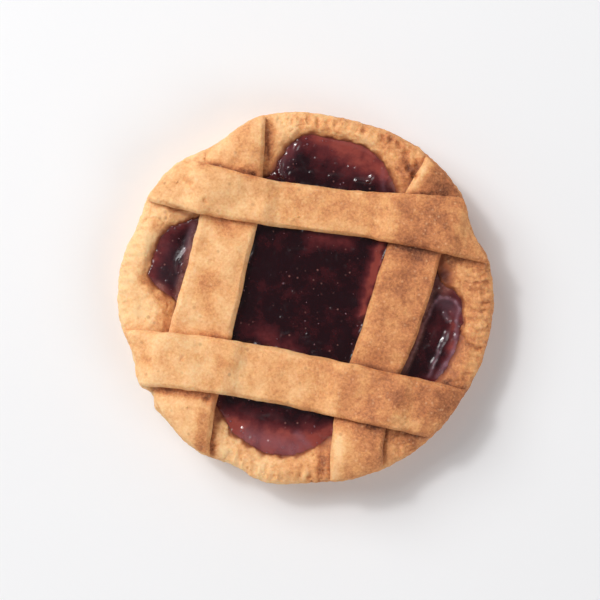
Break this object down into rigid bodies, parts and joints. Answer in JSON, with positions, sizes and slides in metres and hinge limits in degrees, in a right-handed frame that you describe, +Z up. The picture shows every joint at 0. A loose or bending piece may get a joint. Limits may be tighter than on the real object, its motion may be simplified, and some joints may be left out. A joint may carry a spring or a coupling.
{
  "type": "guava pasta frola",
  "caption": "Round shortcrust tart turned out of its tin, with dark guava jam showing between broad draped pastry strips and a fork-pressed rim.",
  "frame": {"origin": "centre of the box in plan, at the flat base that the tart stands on", "axes": "+Z up out of the lattice, +X to the right and +Y to the top of the picture, which looks straight down"},
  "size_m": [0.1252, 0.124, 0.0258],
  "materials": {
    "baked_crust": "dry baked shortcrust, sandy crumb, golden and browner on the rim",
    "baked_strip": "dry baked shortcrust strip, golden at the edges and brown on top",
    "guava_jam": "glossy dark red jam with a wrinkled skin"
  },
  "bodies": {
    "root": {"crust": "baked_crust", "guava_filling": "guava_jam", "strip_left": "baked_strip", "strip_right": "baked_strip", "strip_upper": "baked_strip", "strip_lower": "baked_strip"}
  },
  "joints": []
}
